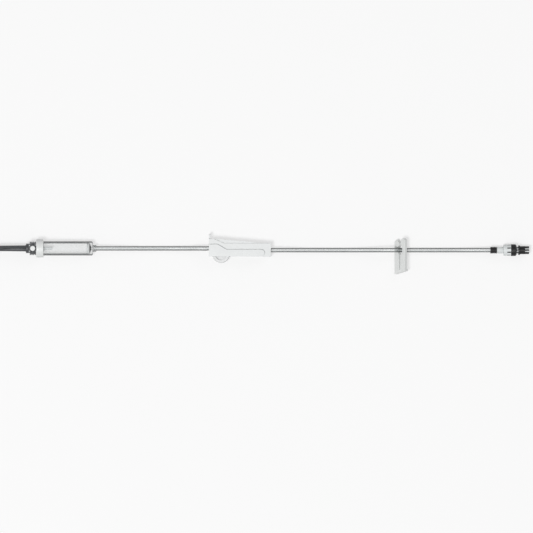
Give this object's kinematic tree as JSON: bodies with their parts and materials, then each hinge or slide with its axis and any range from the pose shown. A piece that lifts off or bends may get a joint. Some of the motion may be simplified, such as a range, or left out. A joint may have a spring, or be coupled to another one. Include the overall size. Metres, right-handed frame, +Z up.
{
  "type": "gravity infusion set",
  "caption": "Gravity infusion line: vented spike, clear drip chamber, roller clamp, slide clamp and a capped locking connector on soft tube.",
  "frame": {"origin": "centre of the box round the pieces, on the surface that the set lies on", "axes": "+X along the line from spike to connector, +Y across it towards the roller clamp's ramp, +Z up"},
  "size_m": [0.5372, 0.0401, 0.0184],
  "materials": {
    "white": "satin",
    "grey": "satin",
    "housing": "satin",
    "roller": "satin",
    "natural": "satin",
    "dark": "satin",
    "chamber": "clear",
    "tube": "clear",
    "filter": "matt"
  },
  "bodies": {
    "line": {"spike": "grey", "vent_filter": "filter", "chamber_cap": "white", "drip_nozzle": "natural", "drip_chamber": "chamber", "filter_ring": "natural", "filter_mesh": "filter", "clamp_housing": "housing", "tube_sleeve": "dark", "connector_hub": "natural", "tube_upper": "tube", "tube_in_roller_clamp": "tube", "tube_middle": "tube", "tube_in_slide_clamp": "tube", "tube_lower": "tube"},
    "lid": {"vent_lid": "grey"},
    "roller_carriage": {"roller_axle": "natural"},
    "roller": {"roller_wheel": "roller"},
    "pinch_plate": {"slide_clamp": "white"},
    "collar": {"lock_collar": "natural"},
    "cap": {"end_cap": "dark"}
  },
  "joints": [
    {"name": "vent_lid_hinge", "type": "hinge", "parent": "line", "child": "lid", "pos_m": [-0.22763, 0.00165, 0.0161], "axis": [0.9992, 0, -0.0409], "range_deg": [0, 150]},
    {"name": "roller_travel", "type": "slide", "parent": "line", "child": "roller_carriage", "axis": [1, 0, 0], "range_m": [0, 0.0325], "deforming": ["tube_in_roller_clamp"]},
    {"name": "roller_spin", "type": "hinge", "parent": "roller_carriage", "child": "roller", "pos_m": [-0.03945, 0.00005, 0.0068], "axis": [0, 0, 1], "range_deg": [0, 212]},
    {"name": "slide_clamp_shift", "type": "slide", "parent": "line", "child": "pinch_plate", "axis": [0, 1, 0], "range_m": [0, 0.016], "deforming": ["tube_in_slide_clamp"]},
    {"name": "lock_collar_spin", "type": "hinge", "parent": "line", "child": "collar", "pos_m": [0.24285, 0.0041, 0.00585], "axis": [1, 0, 0], "continuous": true},
    {"name": "end_cap_pull", "type": "slide", "parent": "line", "child": "cap", "axis": [1, 0, 0], "range_m": [0, 0.012]}
  ],
  "couplings": [
    {"joint": "roller_spin", "follows": "roller_travel", "rad_per_m": 113.64}
  ]
}
